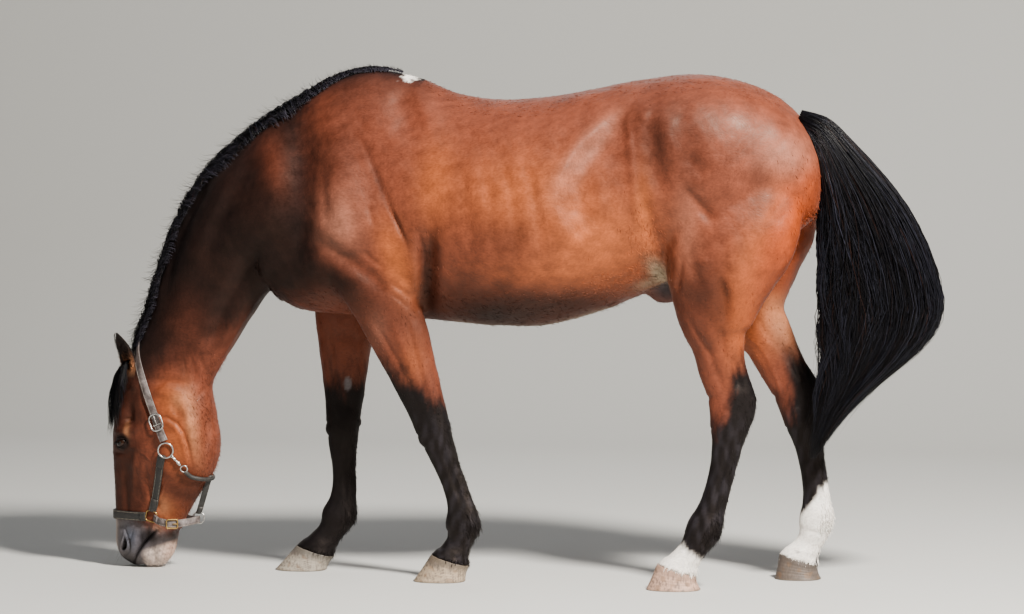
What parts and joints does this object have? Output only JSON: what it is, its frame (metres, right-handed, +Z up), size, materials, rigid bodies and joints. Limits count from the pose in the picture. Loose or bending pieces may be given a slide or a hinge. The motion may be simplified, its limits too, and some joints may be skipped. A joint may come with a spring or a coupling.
{
  "type": "horse model",
  "caption": "Life-size still model of a bay horse grazing with its head down, standing on its hooves, in a leather halter.",
  "frame": {"origin": "middle of the bounding box on the floor, in the plane of the soles of the hooves", "axes": "+X towards the tail, so the horse faces -X; +Y towards the horse's right side; +Z up"},
  "size_m": [2.6916, 0.6078, 1.6193],
  "materials": {
    "coat_bay": "short glossy reddish-brown coat",
    "coat_black": "short glossy black coat of the lower legs",
    "coat_white": "short white coat of the hind pasterns",
    "skin_dark": "soft dark bare skin",
    "horn": "smooth pale horn",
    "horn_dark": "smooth dark horn",
    "eye": "wet dark brown",
    "hair": "long coarse black hair",
    "leather_dark": "dark strap leather with paler cut edges",
    "leather_worn": "worn grey-brown strap leather",
    "steel": "plated steel, lightly dulled",
    "brass": "aged brass"
  },
  "bodies": {
    "root": {"ear_left": "coat_bay", "ear_right": "coat_bay", "eye_left": "eye", "eye_right": "eye", "fore_left_cannon": "coat_black", "fore_left_forearm": "coat_bay", "fore_left_hoof": "horn", "fore_left_pastern": "coat_black", "fore_right_cannon": "coat_black", "fore_right_forearm": "coat_bay", "fore_right_hoof": "horn", "fore_right_pastern": "coat_black", "forelock": "hair", "halter_buckle_left": "steel", "halter_buckle_right": "steel", "halter_cheek_left": "leather_dark", "halter_cheek_right": "leather_dark", "halter_chin_buckle": "brass", "halter_chin_ring": "steel", "halter_chin_strap": "leather_worn", "halter_connector": "leather_dark", "halter_crown": "leather_worn", "halter_nose_ring_left": "brass", "halter_nose_ring_right": "brass", "halter_noseband": "leather_dark", "halter_ring_left": "steel", "halter_ring_right": "steel", "halter_snap": "steel", "halter_snap_ring": "steel", "halter_throat_strap": "leather_dark", "head": "coat_bay", "hind_left_cannon": "coat_black", "hind_left_gaskin": "coat_bay", "hind_left_hoof": "horn", "hind_left_pastern": "coat_white", "hind_right_cannon": "coat_black", "hind_right_gaskin": "coat_bay", "hind_right_hoof": "horn_dark", "hind_right_pastern": "coat_white", "mane": "hair", "neck": "coat_bay", "sheath": "skin_dark", "tail": "hair", "trunk": "coat_bay"}
  },
  "joints": []
}
